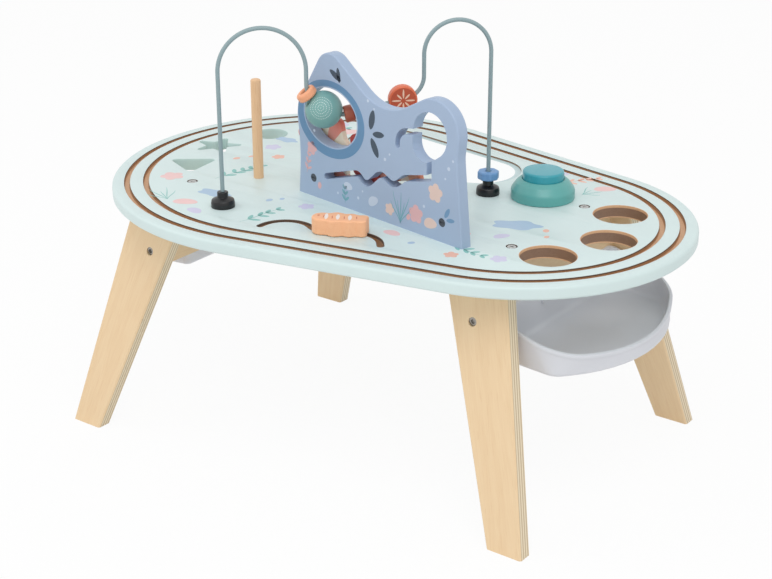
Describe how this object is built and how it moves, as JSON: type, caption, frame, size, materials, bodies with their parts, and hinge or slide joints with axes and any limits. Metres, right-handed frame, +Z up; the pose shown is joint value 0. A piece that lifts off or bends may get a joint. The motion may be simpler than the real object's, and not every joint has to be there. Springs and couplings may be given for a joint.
{
  "type": "bead maze activity table",
  "caption": "Oval wooden activity table on splayed legs with a bead wire, a slotted panel with toothed wheels, shape and ball holes, a push button and catch trays.",
  "frame": {"origin": "centre of the table's box on the floor, under the middle of the top", "axes": "+X along the top towards its narrow end with the ball holes, +Y to the back behind the panel, +Z up"},
  "size_m": [0.5999, 0.425, 0.4145],
  "materials": {
    "top_paint": "satin paint",
    "mirror_face": "mirror",
    "birch": "clear lacquer",
    "bolt_black": "black oxide",
    "steel": "zinc plated",
    "tray_plastic": "matt",
    "panel_paint": "satin paint",
    "wire_paint": "satin paint",
    "foot_black": "satin",
    "green_paint": "satin paint",
    "peach_paint": "satin paint",
    "rust_paint": "satin paint",
    "coral_paint": "satin paint",
    "blue_paint": "satin paint",
    "orange_paint": "satin paint",
    "yellow_paint": "satin paint",
    "red_paint": "satin paint",
    "wheel_orange": "satin paint",
    "beech": "clear lacquer",
    "base_paint": "satin paint",
    "cap_paint": "satin paint",
    "fish_paint": "satin paint"
  },
  "bodies": {
    "table": {"top_board": "top_paint", "mirror": "mirror_face", "crossbar_left": "birch", "crossbar_right": "birch", "leg_front_left": "birch", "leg_back_left": "birch", "leg_front_right": "birch", "leg_back_right": "birch", "leg_bolts": "bolt_black", "leg_nuts": "steel", "top_screws": "steel", "tray_left": "tray_plastic", "tray_right": "tray_plastic", "tray_screws": "steel", "panel": "panel_paint", "panel_nuts": "steel", "panel_bolts": "steel", "gear_axles": "beech", "gear_spacers": "beech", "wire": "wire_paint", "wire_feet": "foot_black", "wire_nuts": "steel", "peg": "beech", "button_base": "base_paint", "button_spring": "steel"},
    "gear_left": {"gear_left": "yellow_paint"},
    "gear_middle": {"gear_middle": "red_paint"},
    "gear_right": {"gear_right": "wheel_orange"},
    "ring_peach": {"bead_ring_peach": "peach_paint"},
    "ball_green": {"bead_green": "green_paint"},
    "bead_rust": {"bead_rust": "rust_paint"},
    "ring_coral": {"bead_ring_coral": "coral_paint"},
    "disc": {"bead_disc": "orange_paint"},
    "bead_blue": {"bead_blue": "blue_paint"},
    "button_cap": {"button_cap": "cap_paint"},
    "fish_slider": {"fish": "fish_paint", "fish_pin": "beech"}
  },
  "joints": [
    {"name": "wheel_left_spin", "type": "hinge", "parent": "table", "child": "gear_left", "pos_m": [-0.05172, -0.04518, 0.284], "axis": [0.1719, 0.9851, 0], "continuous": true},
    {"name": "wheel_middle_spin", "type": "hinge", "parent": "table", "child": "gear_middle", "pos_m": [0.00949, -0.05586, 0.29201], "axis": [0.1719, 0.9851, 0], "continuous": true},
    {"name": "wheel_right_spin", "type": "hinge", "parent": "table", "child": "gear_right", "pos_m": [0.05552, -0.06389, 0.29692], "axis": [0.1719, 0.9851, 0], "continuous": true},
    {"name": "ring_peach_lift", "type": "slide", "parent": "table", "child": "ring_peach", "axis": [0, 0, 1], "range_m": [0, 0.016]},
    {"name": "ball_green_spin", "type": "hinge", "parent": "table", "child": "ball_green", "pos_m": [-0.03596, -0.06853, 0.33241], "axis": [0.6198, 0.6048, -0.5], "continuous": true},
    {"name": "bead_rust_spin", "type": "hinge", "parent": "table", "child": "bead_rust", "pos_m": [-0.01913, -0.05211, 0.3276], "axis": [0.7001, 0.6832, 0.2079], "continuous": true},
    {"name": "ring_coral_slide", "type": "slide", "parent": "table", "child": "ring_coral", "axis": [0.7001, 0.6832, 0.2079], "range_m": [0, 0.02]},
    {"name": "disc_spin", "type": "hinge", "parent": "table", "child": "disc", "pos_m": [0.01686, -0.01699, 0.33916], "axis": [0.6807, 0.6642, 0.309], "continuous": true},
    {"name": "bead_blue_lift", "type": "slide", "parent": "table", "child": "bead_blue", "axis": [0, 0, 1], "range_m": [0, 0.11]},
    {"name": "button_press", "type": "slide", "parent": "table", "child": "button_cap", "axis": [0, 0, 1], "range_m": [-0.005, 0], "stiffness_N_per_m": 500, "springref_m": 0.002, "deforming": ["button_spring"]},
    {"name": "fish_swing", "type": "hinge", "parent": "table", "child": "fish_slider", "pos_m": [0.00931, -0.10866, 0.242], "axis": [0, 0, 1], "range_deg": [-76, 10]}
  ],
  "couplings": [
    {"joint": "wheel_left_spin", "follows": "wheel_middle_spin", "ratio": -0.71429},
    {"joint": "wheel_right_spin", "follows": "wheel_middle_spin", "ratio": -1.25}
  ]
}
